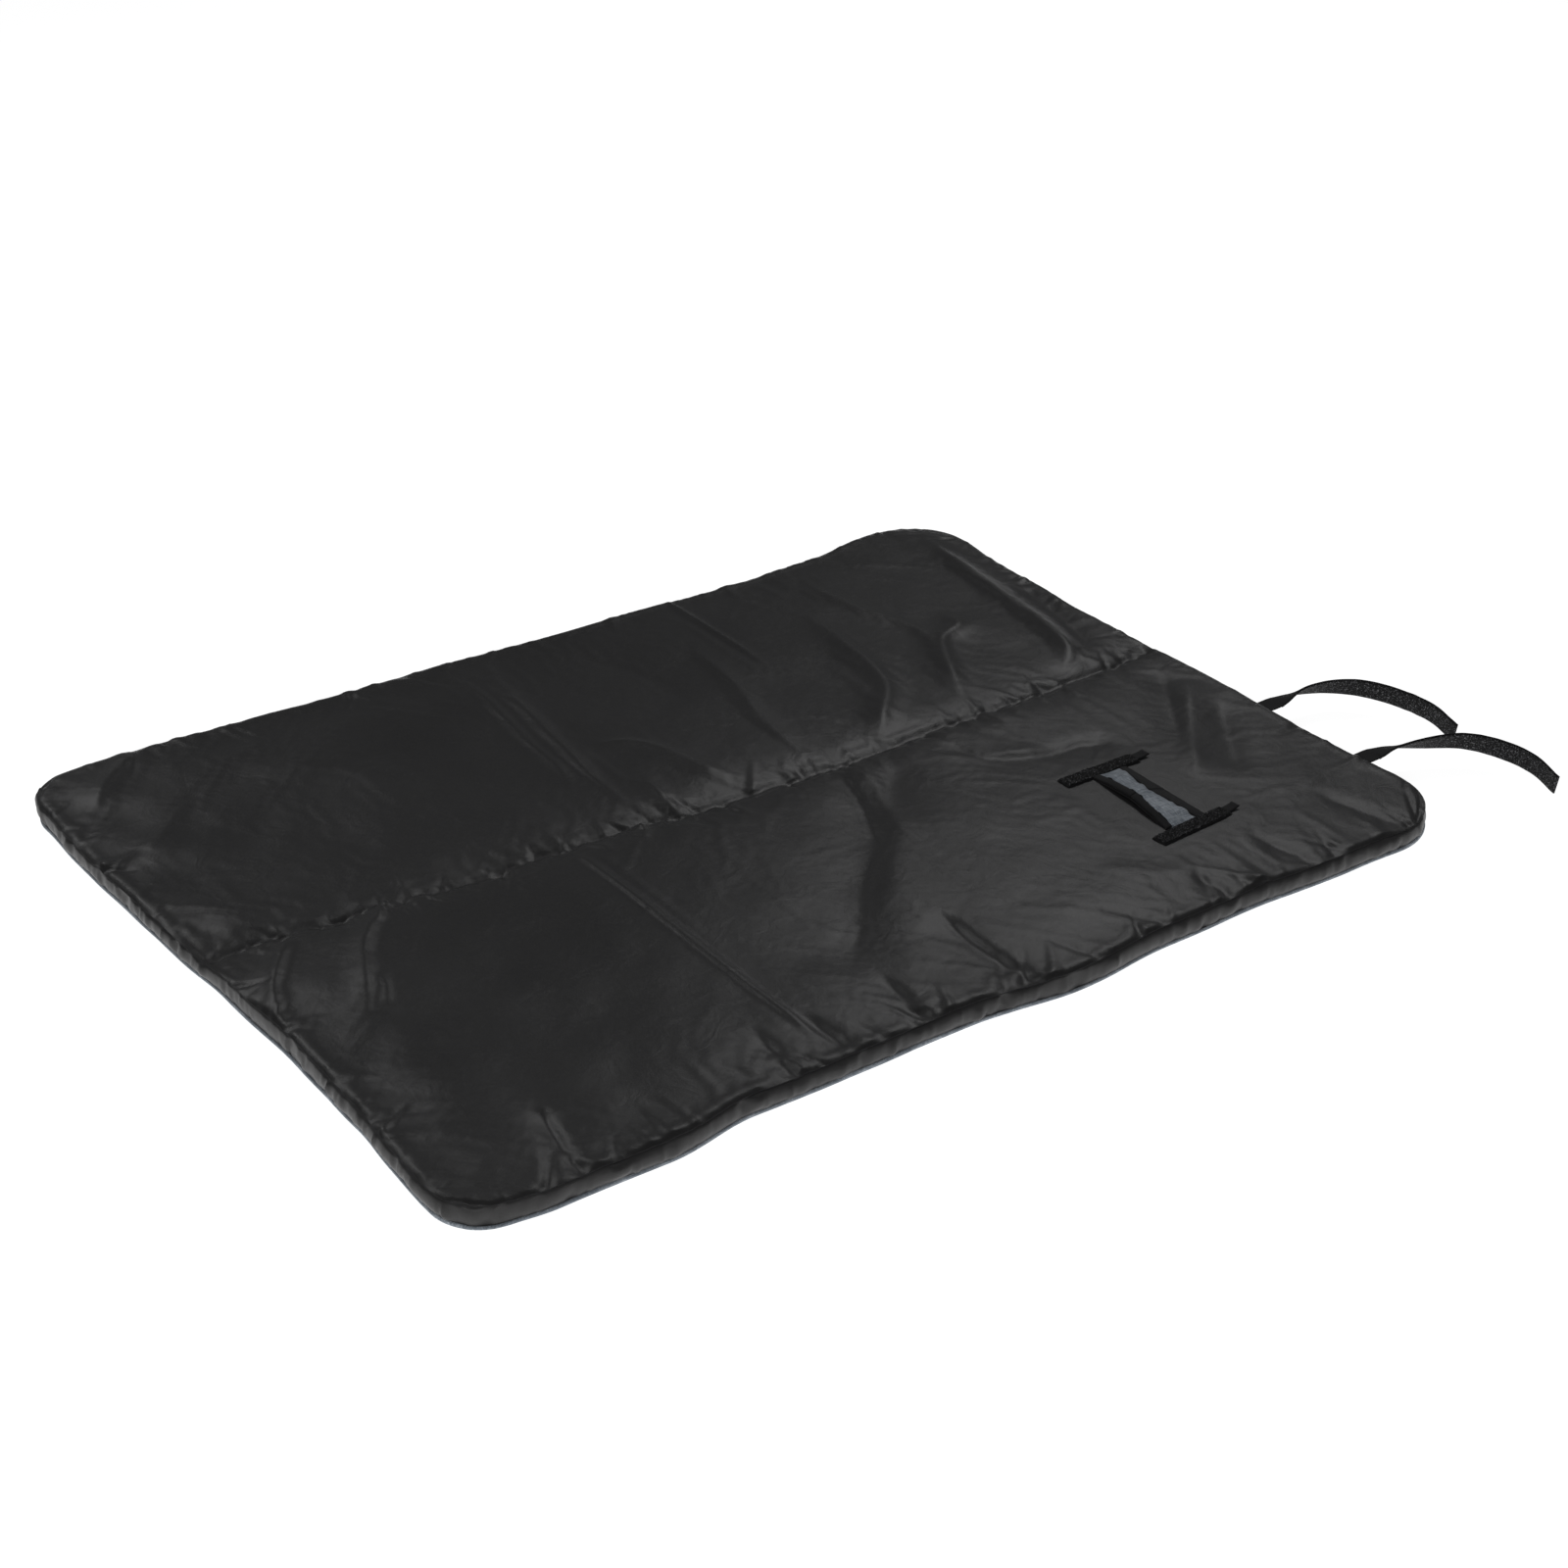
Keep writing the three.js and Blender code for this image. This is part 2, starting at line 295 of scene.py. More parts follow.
def loop_pile(name):
    """Hook-and-loop pile: matt black, with painted glints: pale specks in its colour on the tufts."""
    pile = Nodes(name, (0.004, 0.004, 0.0043), 0.9, 0.22)
    place = pile.coordinates("rest")
    tuft_and_painted_glint = pile.noise(place, 760.0, 3.0, 0.75)
    clump = pile.noise(place, 420.0, 2.0)
    # The palest stop is a painted glint: pale specks in the base colour where tufts catch the light.
    shades = [(0.4, (0.0015, 0.0015, 0.0017)), (0.56, (0.009, 0.009, 0.0095)), (0.66, (0.2, 0.2, 0.21))]
    pile.link(pile.ramp(tuft_and_painted_glint, shades), pile.shader.inputs["Base Color"])
    pile.shader.inputs["Sheen Weight"].default_value = 0.03
    pile.bump((clump, 0.0006, 0.7), (tuft_and_painted_glint, 0.0005, 0.8))
    return pile.material


def white_wadding(name):
    """Matted white fibres."""
    fill = Nodes(name, (0.75, 0.74, 0.7), 1.0, 0.1)
    fibre = fill.noise(fill.coordinates("rest"), 160.0, 6.0, 0.7, 2.0)
    shades = [(0.3, (0.55, 0.54, 0.5)), (0.7, (0.86, 0.85, 0.81))]
    fill.link(fill.ramp(fibre, shades), fill.shader.inputs["Base Color"])
    fill.bump((fibre, 0.004, 0.6))
    return fill.material


def sewing_thread(name):
    """Dark thread with a fine twist."""
    thread = Nodes(name, (0.012, 0.012, 0.013), 0.55, 0.4)
    twist = thread.bands(thread.coordinates("rest"), TWIST_PITCH, "DIAGONAL")
    thread.bump((twist, 0.0002, 0.5))
    return thread.material


COVER = coated_cloth("cover_nylon", (0.0130, 0.0126, 0.0128), 0.39, 0.37)
# The edge strip is the cover's nylon coloured lighter: painted light on the mat's sides.
EDGE = coated_cloth("edge_nylon", (0.0185, 0.0180, 0.0182), 0.46, 0.42)
HEATHER = heather_cloth("heather_underside")
TAPE = ribbed_tape("black_tape")
PILE = loop_pile("hook_and_loop_pile")
WADDING = white_wadding("white_wadding")
THREAD = sewing_thread("black_thread")


# ---------------------------------------------------------------- the padded mat

# How far each side of the outline is shifted along +Y or +X, in mm, at places along the side in metres
FAR_OUTLINE = [(-0.48, 8), (-0.385, 10), (-0.3, 6), (-0.15, 3), (0.1, -3), (0.25, -6), (0.34, -2), (0.44, 7)]
NEAR_OUTLINE = [(-0.47, -8), (-0.42, -13), (-0.33, -13), (-0.24, 0), (-0.13, 0), (-0.04, 1), (0.07, -8),
                (0.17, 0), (0.27, 3), (0.36, 1), (0.46, -1)]
LEFT_OUTLINE = [(-0.33, 0), (-0.22, 5), (-0.12, 9), (0.0, 4), (0.1, -2), (0.2, -6), (0.33, -5)]
RIGHT_OUTLINE = [(-0.33, 2), (-0.2, -4), (-0.08, 0), (0.02, -1), (0.12, -4), (0.22, 1), (0.33, 6)]


def corner_radius(u, v):
    """The radius of the nearest corner, for points of the unit square from (-1, -1) to (1, 1)."""
    radius = np.full(np.shape(u), 0.05)     # it stays on the two middle lines only, where no corner is near
    for (side_x, side_y), size in CORNER_RADIUS.items():
        radius[(u * side_x > 0) & (v * side_y > 0)] = size
    return radius


def plan(u, v):
    """Where points of the unit square lie in plan: a rounded rectangle with a slightly wavy outline."""
    x, y = u * HALF_LENGTH, v * HALF_WIDTH
    radius = corner_radius(u, v)
    p = np.clip((abs(x) - HALF_LENGTH + radius) / radius, 0, 1)
    q = np.clip((abs(y) - HALF_WIDTH + radius) / radius, 0, 1)
    in_x = np.sign(x) * (np.minimum(abs(x), HALF_LENGTH - radius) + radius * p * np.sqrt(1 - q * q / 2))
    in_y = np.sign(y) * (np.minimum(abs(y), HALF_WIDTH - radius) + radius * q * np.sqrt(1 - p * p / 2))
    far = through(in_x, FAR_OUTLINE) * MM * smooth((v - 0.55) / 0.45)
    near = through(in_x, NEAR_OUTLINE) * MM * smooth((-v - 0.55) / 0.45)
    left = through(in_y, LEFT_OUTLINE) * MM * smooth((-u - 0.7) / 0.3)
    right = through(in_y, RIGHT_OUTLINE) * MM * smooth((u - 0.7) / 0.3)
    wave_x = line_noise(in_x, 0.045, 11) * 1.3 * MM * smooth((abs(v) - 0.8) / 0.2)
    wave_y = line_noise(in_y, 0.045, 12) * 1.3 * MM * smooth((abs(u) - 0.85) / 0.15)
    return in_x + left + right + wave_y, in_y + far + near + wave_x


# The sewn centre line wanders a little: (x, y) in metres
FOLD_LINE = [(-0.5, 0.034), (-0.38, 0.03), (-0.26, 0.02), (-0.1, 0.014), (-0.02, 0.005), (0.15, 0.002),
             (0.3, 0.007), (0.42, 0.012), (0.5, 0.02)]


def bank_profile(d, near_width, far_width):
    """About 1 on the centre line, falling to 0 on each side; d is positive on the far side."""
    w = np.where(d > 0, far_width, near_width)
    return np.exp(-np.sqrt((d / w) ** 2 + 0.0025) ** 1.05)


# Creases and soft folds of the top cover: route in mm, height in mm before it is multiplied by
# FOLD_STRENGTH (negative for a valley), half widths in mm to the left and right of the route's direction
FOLD_STRENGTH = 1.7
FOLDS = [
    # far half, from the left
    ([(-60, 330), (-75, 200), (-90, 80)], 1.6, 7, 9),
    ([(-82, 330), (-97, 200), (-108, 90)], 0.9, 6, 6),
    ([(-60, 160), (-20, 130), (0, 70), (15, 20)], 2.2, 8, 12),
    ([(-50, 85), (-55, 20), (-45, -10)], 1.5, 5, 8),
    ([(130, 270), (115, 170), (100, 110), (97, 40)], 1.4, 9, 7),
    ([(262, 290), (252, 180), (235, 100), (195, 50), (160, 10)], 3.0, 9, 14),
    ([(300, 330), (310, 250), (330, 180), (325, 140)], 1.6, 8, 8),
    ([(375, 200), (370, 160), (335, 140), (300, 80), (265, 10)], 3.2, 9, 13),
    ([(475, 370), (460, 280), (447, 180), (440, 120), (425, 60), (390, 25)], 4.2, 12, 10),
    ([(492, 250), (478, 160), (462, 90), (446, 45)], -2.4, 12, 12),
    ([(168, 440), (168, 300), (168, 190)], 0.8, 2.5, 3),
    ([(-380, 385), (-440, 345), (-470, 300)], 1.5, 8, 14),
    ([(-330, 300), (-250, 230), (-215, 150)], 1.3, 26, 26),
    ([(-420, 240), (-330, 150), (-300, 90)], -1.4, 30, 30),
    ([(20, 340), (60, 250), (60, 160)], -1.2, 26, 26),
    # left end, where the cloth is drawn in to the centre line
    ([(-420, 30), (-450, -10), (-475, -50), (-490, -100)], 2.4, 5, 10),
    ([(-310, 40), (-350, 10), (-385, -30), (-405, -70), (-440, -140)], 2.6, 6, 12),
    ([(-395, -75), (-402, -100), (-415, -125)], 1.0, 4, 5),
    # near half
    ([(-170, 60), (-168, 0), (-168, -270), (-150, -440)], 0.6, 2.5, 3),
    ([(-383, -290), (-397, -350), (-404, -420)], -2.6, 5, 9),
    ([(180, -40), (130, -50), (60, -120), (-10, -190), (-70, -260), (-110, -300)], -3.0, 24, 34),
    ([(215, -10), (215, -60), (260, -90), (320, -100), (330, -130)], -2.4, 10, 16),
    ([(480, -10), (430, -80), (370, -170)], -2.4, 16, 18),
    ([(480, -50), (420, -120), (330, -230)], 2.2, 12, 12),
    ([(480, -90), (430, -160), (380, -230)], -2.6, 15, 18),
    ([(90, -90), (40, -170), (-30, -250)], 1.8, 26, 26),
    ([(22, -250), (18, -320), (30, -430)], -2.8, 5, 22),
    ([(235, -315), (236, -430)], -1.8, 6, 9),
    ([(-200, -300), (-214, -430)], -2.0, 6, 12),
    ([(-158, -300), (-150, -430)], -1.8, 6, 14),
    ([(-72, -290), (-92, -430)], -2.0, 6, 14),
    ([(318, -300), (344, -430)], -1.8, 7, 12),
    ([(415, -270), (452, -430)], -1.6, 8, 12),
    ([(170, -270), (210, -310), (250, -330)], 1.0, 14, 18),
    # near half, beside the centre line
    ([(100, 12), (88, -50), (62, -110), (48, -150)], -1.8, 9, 16),
    ([(122, 8), (112, -45), (88, -100), (70, -160)], 1.8, 12, 16),
    ([(176, -30), (215, -62), (250, -76), (285, -92)], 1.7, 9, 14),
]


def fold_height(x, y, route, height, left_width, right_width):
    """Height of one crease: sharp on its line, and tapering off at both ends."""
    line = spline(np.array(route, float) * MM, 8)
    reach = 3.2 * max(left_width, right_width) * MM
    low, high = line.min(0) - reach, line.max(0) + reach
    near = (x > low[0]) & (x < high[0]) & (y > low[1]) & (y < high[1])
    px, py = x[near], y[near]
    nearest = np.full(px.shape, np.inf)
    side = np.zeros(px.shape)
    place = np.zeros(px.shape)
    for i in range(len(line) - 1):
        a, d = line[i], line[i + 1] - line[i]
        t = np.clip(((px - a[0]) * d[0] + (py - a[1]) * d[1]) / (d @ d), 0, 1)
        gx, gy = px - a[0] - t * d[0], py - a[1] - t * d[1]
        distance = np.hypot(gx, gy)
        closer = distance < nearest
        nearest = np.where(closer, distance, nearest)
        side = np.where(closer, d[0] * gy - d[1] * gx, side)
        place = np.where(closer, (i + t) / (len(line) - 1), place)
    width = np.where(side > 0, left_width, right_width) * MM
    crest = 0.16 * width
    taper_share = 0.28
    profile = np.exp(-((np.sqrt(nearest ** 2 + crest ** 2) - crest) / width) ** 1.25)
    taper = smooth(place / taper_share) * smooth((1 - place) / taper_share)
    out = np.zeros(x.shape)
    out[near] = height * MM * profile * taper
    return out


def seam_puckers(s, d, strength, seed):
    """Soft unevenness that runs in from a seam: s is the place along it, d the distance from it."""
    out = np.zeros(np.shape(s))
    for k, (size, reach, height) in enumerate([(0.06, 0.05, 1.6 * MM), (0.027, 0.03, 1.5 * MM)]):
        sway = 0.9 * size * lattice_noise(s, d, 0.05, seed + 10 * k)
        gather = line_noise(s + sway, size, seed + k)
        out += height * (0.5 - np.abs(gather)) * np.exp(-d / reach)
    return strength * out


AWAY = 9                      # a distance from a seam, in metres, that no tuck reaches


def gathers(s, d, low, high, count, seed, longest, tallest):
    """Pinched tucks that run in from a seam between s = low and high, `longest` in metres and `tallest` in
    mm. Each is a tent or a valley with a sharp line, widest at the seam and gone at its inner end."""
    draw = np.random.default_rng(seed)
    out = np.zeros(np.shape(s))
    for _ in range(count):
        start = draw.uniform(low, high)
        length = longest * draw.uniform(0.22, 1.0) ** 1.6
        width = length * draw.uniform(0.13, 0.34) + 1.2 * MM
        lean = draw.uniform(-0.75, 0.75)
        height = tallest * MM * draw.uniform(0.35, 1.0) * (length / longest) ** 0.6 * draw.choice([-1, 1])
        lopsided = draw.uniform(0.45, 1.0)
        near = (d < length) & (abs(s - start) < width + abs(lean) * length + width)
        dn = d[near]
        off = s[near] - start - lean * dn
        open_width = width * (1 - 0.65 * dn / length)
        open_width = np.where(off > 0, open_width, open_width * lopsided)
        tent = np.clip(1 - abs(off) / open_width, 0, 1) ** 1.15     # a little hollow on its slopes
        out[near] += height * tent * (1 - dn / length) * smooth(dn / (4 * MM) + 0.35)
    return out


def held_flat(x, y):
    """Near 1 where the handle and its patches hold the cover smooth, 0 away from them."""
    margin = 0.022
    px = np.maximum(abs(x - HANDLE_CENTRE.x) - HANDLE_REACH.x, 0)
    py = np.maximum(abs(y - HANDLE_CENTRE.y) - HANDLE_REACH.y, 0)
    return 0.9 * (1 - smooth(np.hypot(px, py) / margin))


def distance_from_edge(u, v):
    """How far points of the unit square are from the rounded outline, and from its straight sides."""
    edge_x, edge_y = (1 - abs(u)) * HALF_LENGTH, (1 - abs(v)) * HALF_WIDTH
    corner = corner_radius(u, v) * 0.75
    from_edge = np.where((edge_x < corner) & (edge_y < corner),
                         corner - np.hypot(corner - edge_x, corner - edge_y), np.minimum(edge_x, edge_y))
    return np.maximum(from_edge, 0), edge_x, edge_y


def wadding_lumps(x, y):
    """Soft lumps of the wadding, largest at the left end."""
    lumps = (0.9 * lattice_noise(x, y, 0.14, 1) + 0.8 * lattice_noise(x + 0.4 * y, y, 0.075, 2)
             + 0.35 * lattice_noise(x, y - 0.3 * x, 0.035, 3))
    return lumps * through(x, [(-0.45, 2.6), (-0.2, 1.7), (0.1, 1.0), (0.5, 1.3)])


def centre_line(x, y, edge_x):
    """The sewn centre line: how deep its sharp valley is, and the height of the tucks on both sides."""
    d = y - through(x, FOLD_LINE) - 0.8 * MM * line_noise(x, 0.018, 33)
    wide = through(x, [(-0.5, 0.034), (-0.3, 0.032), (-0.05, 0.024), (0.2, 0.018), (0.5, 0.020)])
    depth = FOLD_DEPTH * through(x, [(-0.5, 1.15), (-0.2, 1.15), (0.1, 0.9), (0.3, 0.8), (0.5, 1.0)])
    valley = depth * bank_profile(d, 0.75 * wide, wide) * smooth(edge_x / 0.012 + 0.4)
    tucks = seam_puckers(x, abs(d), 0.7, 40)
    tucks += gathers(x, np.where(d > 0, d, AWAY), -0.48, 0.48, 120, 41, 0.045, 2.3)
    tucks += gathers(x, np.where(d < 0, -d, AWAY), -0.48, 0.48, 210, 42, 0.045, 3.0)
    return valley, tucks * smooth((edge_x - 0.006) / 0.03)


def top_height(u, v, x, y):
    """Height of the top cover above the floor with its creases, and the distance from its edge."""
    from_edge, edge_x, edge_y = distance_from_edge(u, v)
    rise = np.sqrt(1 - (1 - np.clip(from_edge / SHOULDER, 0, 1)) ** 2)
    plain = SEAM_HEIGHT + (TOP - SEAM_HEIGHT) * rise + CROWN * smooth(from_edge / 0.07)
    height = plain.copy()
    height += wadding_lumps(x, y) * MM * smooth(from_edge / 0.06)
    valley, tucks = centre_line(x, y, edge_x)
    height -= valley
    height += tucks
    # tucks along the outer seam
    perimeter = np.where(edge_x < edge_y, y * np.sign(u) + 3, x * np.sign(v))
    height += seam_puckers(perimeter, from_edge, 0.7, 60)
    for side, count, tallest in ((-1, 84, 3.0), (1, 80, 2.0)):
        from_long_side = np.where(v * side > 0, edge_y, AWAY)
        from_short_side = np.where(u * side > 0, edge_x, AWAY)
        height += gathers(x, from_long_side, -0.46, 0.46, count, 61 + side, 0.06, tallest)
        height += gathers(y, from_short_side, -0.34, 0.34, 64, 71 + side, 0.05, 2.2)
    for route, *shape in FOLDS:
        height += FOLD_STRENGTH * fold_height(x, y, route, *shape) * smooth(from_edge / 0.008 + 0.35)
    # the far edge and the far right corner stand up a little
    height += through(x, [(0.3, 0), (0.45, 4)]) * MM * smooth((v - 0.7) / 0.3)
    height += through(x, [(-0.5, 3.5), (-0.3, 3.0), (0.0, 2.4), (0.3, 2.0)]) * MM * smooth((v - 0.8) / 0.2)
    height += (plain - height) * held_flat(x, y)
    return height, from_edge


def ring(columns, rows):
    """Indices of the outermost points of a grid, in order, starting at its first corner."""
    width = columns + 1
    bottom = list(range(columns))
    right = [r * width + columns for r in range(rows)]
    top = [rows * width + c for c in range(columns, 0, -1)]
    left = [r * width for r in range(rows, 0, -1)]
    return np.array(bottom + right + top + left)


def unit_grid(columns, rows):
    """Evenly spaced points of the unit square, row by row."""
    v, u = np.meshgrid(np.linspace(-1, 1, rows + 1), np.linspace(-1, 1, columns + 1), indexing="ij")
    return u.ravel(), v.ravel()


def resample(values, grid, u, v):
    """Values at the points of a coarse unit grid, read smoothly at the points u, v."""
    columns, rows = grid
    field = values.reshape(rows + 1, columns + 1, -1)
    column = np.clip((u + 1) / 2 * columns, 0, columns - 1e-6)
    row = np.clip((v + 1) / 2 * rows, 0, rows - 1e-6)
    i, j = column.astype(int), row.astype(int)
    a, b = (column - i)[:, None], (row - j)[:, None]

    def cubic(t, p0, p1, p2, p3):
        return 0.5 * (2 * p1 + (p2 - p0) * t + (2 * p0 - 5 * p1 + 4 * p2 - p3) * t * t
                      + (3 * p1 - p0 - 3 * p2 + p3) * t ** 3)

    columns_of = [np.clip(i + k, 0, columns) for k in (-1, 0, 1, 2)]
    rows_of = [np.clip(j + k, 0, rows) for k in (-1, 0, 1, 2)]
    return cubic(b, *[cubic(a, *[field[r, c] for c in columns_of]) for r in rows_of])


def settle_cover():
    """Let a slightly loose cover settle on the wadding, and return how far each point of it moves."""
    u, v = unit_grid(*SIM_GRID)
    x, y = plan(u, v)
    z, from_edge = top_height(u, v, x, y)
    start = np.stack([x, y, z], -1)
    gap, touching = 1.2 * MM, 0.6 * MM
    cloth = new_piece("settling_cover", start, grid_faces(*SIM_GRID), COVER)
    bed = new_piece("settling_bed", np.stack([x, y, z - gap], -1), grid_faces(*SIM_GRID), WADDING)
    bed.modifiers.new("Collision", "COLLISION")
    bed.collision.thickness_outer = touching
    bed.collision.cloth_friction = 6
    pins = cloth.vertex_groups.new(name="pins")
    on_line = abs(y - through(x, FOLD_LINE)) < 2.6 * MM
    held = (from_edge < 4 * MM) | on_line | (held_flat(x, y) > 0.7)
    pins.add(np.flatnonzero(held).tolist(), 1.0, "REPLACE")
    modifier = cloth.modifiers.new("Cloth", "CLOTH")
    fabric, touch = modifier.settings, modifier.collision_settings
    fabric.quality = 5
    fabric.mass = 0.12
    fabric.tension_stiffness = fabric.compression_stiffness = 25
    fabric.shear_stiffness = 12
    fabric.bending_stiffness = 0.5
    fabric.air_damping = 3
    fabric.shrink_min = fabric.shrink_max = -LOOSENESS
    fabric.vertex_group_mass = "pins"
    touch.use_collision = True
    touch.distance_min = touching
    touch.collision_quality = 2
    modifier.point_cache.frame_start, modifier.point_cache.frame_end = 1, SIM_FRAMES
    scene = bpy.context.scene
    for step in range(1, SIM_FRAMES + 1):
        scene.frame_set(step)
    settled = cloth.evaluated_get(bpy.context.evaluated_depsgraph_get())
    points = np.empty(len(start) * 3)
    settled.data.vertices.foreach_get("co", points)
    for piece in (cloth, bed):
        mesh = piece.data
        bpy.data.objects.remove(piece)
        bpy.data.meshes.remove(mesh)
    scene.frame_set(1)
    moved = points.reshape(-1, 3) - start
    distance = np.linalg.norm(moved, axis=1)
    free = 1 - held_flat(x, y)
    kept = SLACK_SHARE * free * np.minimum(1, MOST_SETTLING / np.maximum(distance, 1e-9))
    return moved * kept[:, None]


def mat_top():
    """The points of the top cover."""
    u, v = unit_grid(*GRID)
    x, y = plan(u, v)
    points = np.stack([x, y, top_height(u, v, x, y)[0]], -1)
    points += resample(settle_cover(), SIM_GRID, u, v)
    return points


def outward(loop):
    """Unit vectors in plan that point out of a closed ring of points."""
    ahead = np.roll(loop, -2, 0) - np.roll(loop, 2, 0)
    n = np.stack([ahead[:, 1], -ahead[:, 0]], -1)
    return n / np.linalg.norm(n, axis=1)[:, None]


def distance_along(loop):
    """How far each point of a closed ring is from its first point, along the ring."""
    step = np.linalg.norm(np.roll(loop, -1, 0) - loop, axis=1)
    return np.concatenate([[0], np.cumsum(step)[:-1]])


def swept(loop, normals, rows, name, material):
    """A closed band swept round the mat: each row of points is (out, height) all the way round."""
    points = [np.column_stack([loop[:, :2] + normals * out[:, None], height]) for out, height in rows]
    return new_piece(name, np.concatenate(points), grid_faces(len(loop), len(rows) - 1, True), material)


def build_mat_edge(loop):
    """The edge strip, the piping of its top seam and the turned-up rim of the underside."""
    normals = outward(loop)
    s = distance_along(loop)
    seam_z = loop[:, 2]
    bulge = (3.0 + 1.6 * line_noise(s, 0.11, 21) + 0.9 * line_noise(s, 0.03, 22)) * MM
    lean = (-0.5 + 2.0 * line_noise(s, 0.16, 23)) * MM
    foot = (3.4 + 1.0 * line_noise(s, 0.05, 24)) * MM
    tucks = (seam_puckers(s, 0 * s, 0.6, 70) + gathers(s, 0 * s + 0.004, 0, s[-1], 260, 73, 0.03, 3.6)
             + gathers(s, 0 * s + 0.004, 0, s[-1], 170, 74, 0.06, 5.0))
    folds = gathers(s, 0 * s + 0.003, 0, s[-1], 330, 75, 0.035, 3.6)

    strip = []
    for t in np.linspace(0, 1, 17):
        belly = math.sin(math.pi * min(1, t * 1.02)) ** 0.7
        out = bulge * belly + lean * t + (tucks * (1 - t) + folds * t) * math.sin(math.pi * t) ** 0.6
        if t == 0:
            out = out - 0.8 * MM
        strip.append((out, (seam_z - 0.6 * MM) * (1 - t) + foot * t))
    edge = swept(loop, normals, strip, "edge_strip", EDGE)

    cord_radius = 0.45 * MM
    cord = [(0 * s - 0.1 * MM + cord_radius * math.cos(a), seam_z - 0.4 * MM + cord_radius * math.sin(a))
            for a in np.linspace(0, 2 * math.pi, 9)]
    piping = swept(loop, normals, cord, "top_piping", THREAD)

    rim = [(lean - 7 * MM, 0 * s + 0.9 * MM), (lean - 2 * MM, 0 * s + 0.5 * MM),
           (lean + 0.4 * MM, 0 * s + 0.7 * MM), (lean + 1.9 * MM, 0.45 * foot),
           (lean + 2.0 * MM, 0.9 * foot), (lean + 0.9 * MM, foot + 0.9 * MM),
           (lean - 1.2 * MM, foot - 0.3 * MM)]
    return edge, piping, swept(loop, normals, rim, "underside_edge", HEATHER)


cover_points = mat_top()
cover = new_piece("top_cover", cover_points, grid_faces(*GRID), COVER)
edge_strip, top_piping, under_edge = build_mat_edge(cover_points[ring(*GRID)])


def build_underside():
    """The soft underside, flat on the floor and raised a little along the fold."""
    u, v = unit_grid(*GRID)
    x, y = plan(u, v)
    inward = 1 - 0.006 / HALF_WIDTH
    z = (0.9 + 0.35 * lattice_noise(x, y, 0.03, 5) + 0.2 * lattice_noise(x, y, 0.011, 6)) * MM
    z = z + 2.2 * MM * np.exp(-(abs(y - 0.004) / 0.006) ** 1.2)
    faces = [face[::-1] for face in grid_faces(*GRID)]
    return new_piece("underside", np.stack([x * inward, y * inward, z], -1), faces, HEATHER)


underside = build_underside()


def slab_faces(rows, columns):
    """Faces of a closed slab between two grids of points, the upper one first."""
    count = (rows + 1) * (columns + 1)
    upper = grid_faces(columns, rows)
    loop = ring(columns, rows).tolist()
    walls = [[a, a + count, b + count, b] for a, b in zip(loop, loop[1:] + loop[:1])]
    return upper + [[k + count for k in face[::-1]] for face in upper] + walls


def lowest_nearby(height, reach):
    """At each point of a grid, the least height within `reach` steps of it."""
    for axis in (0, 1):
        last = height.shape[axis] - 1
        steps = [np.clip(np.arange(last + 1) + k, 0, last) for k in range(-reach, reach + 1)]
        height = np.min([np.take(height, step, axis) for step in steps], axis=0)
    return height


def build_wadding(name, side):
    """The filling of one half: it lies under every crease of the cover. Its points are a part of the
    cover's, closest together near the fold."""
    step, inset = 5, 0.008
    field = cover_points.reshape(GRID[1] + 1, GRID[0] + 1, 3)
    place = side * field[:, :, 1].mean(1)
    rows = [i for i in range(GRID[1] + 1) if place[i] > 0.012 and (place[i] < 0.07 or i % step == 0)]
    upper = field[rows, ::step].copy()
    upper[..., 0] *= 0.988
    upper[..., 1] = side * np.clip(side * upper[..., 1] * 0.985, inset, None)
    upper[..., 2] = lowest_nearby(field[..., 2], 8)[rows, ::step] - 1.6 * MM
    lower = upper.copy()
    lower[..., 2] = 2.6 * MM + 3.4 * MM * (1 - smooth((side * upper[..., 1] - 0.03) / 0.03))
    points = np.concatenate([upper.reshape(-1, 3), lower.reshape(-1, 3)])
    return new_piece(name, points, slab_faces(upper.shape[0] - 1, upper.shape[1] - 1), WADDING)


wadding = {name: build_wadding(f"{name}_wadding_fill", side) for name, side in (("near", -1), ("far", 1))}

for piece in (cover, edge_strip, top_piping, underside, under_edge, wadding["far"]):
    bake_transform(piece)
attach(wadding["near"], "near_half")

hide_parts("near_top_cover", "far_top_cover", "fold_web", "fold_stitching_near",
            "fold_stitching_far")
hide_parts("near_edge_strip", "far_edge_strip", "edge_join_tape_1", "edge_join_tape_2")
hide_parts("near_top_piping", "far_top_piping")
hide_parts("near_underside", "far_underside")
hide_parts("near_wadding", "near_top_batting")
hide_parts("far_wadding", "far_top_batting")


# ---------------------------------------------------------------- handle and patches

PATCH_LENGTH, PATCH_WIDTH = 0.084, 0.016
TAB_LENGTH, TAB_WIDTH = 0.0128, 0.010
PATCH_TURN = {"far": 0.0, "near": math.radians(5)}

# The ends of the handle in plan, in metres
HANDLE_ENDS = {"far": (0.2925, -0.1535), "near": (0.2845, -0.2625)}
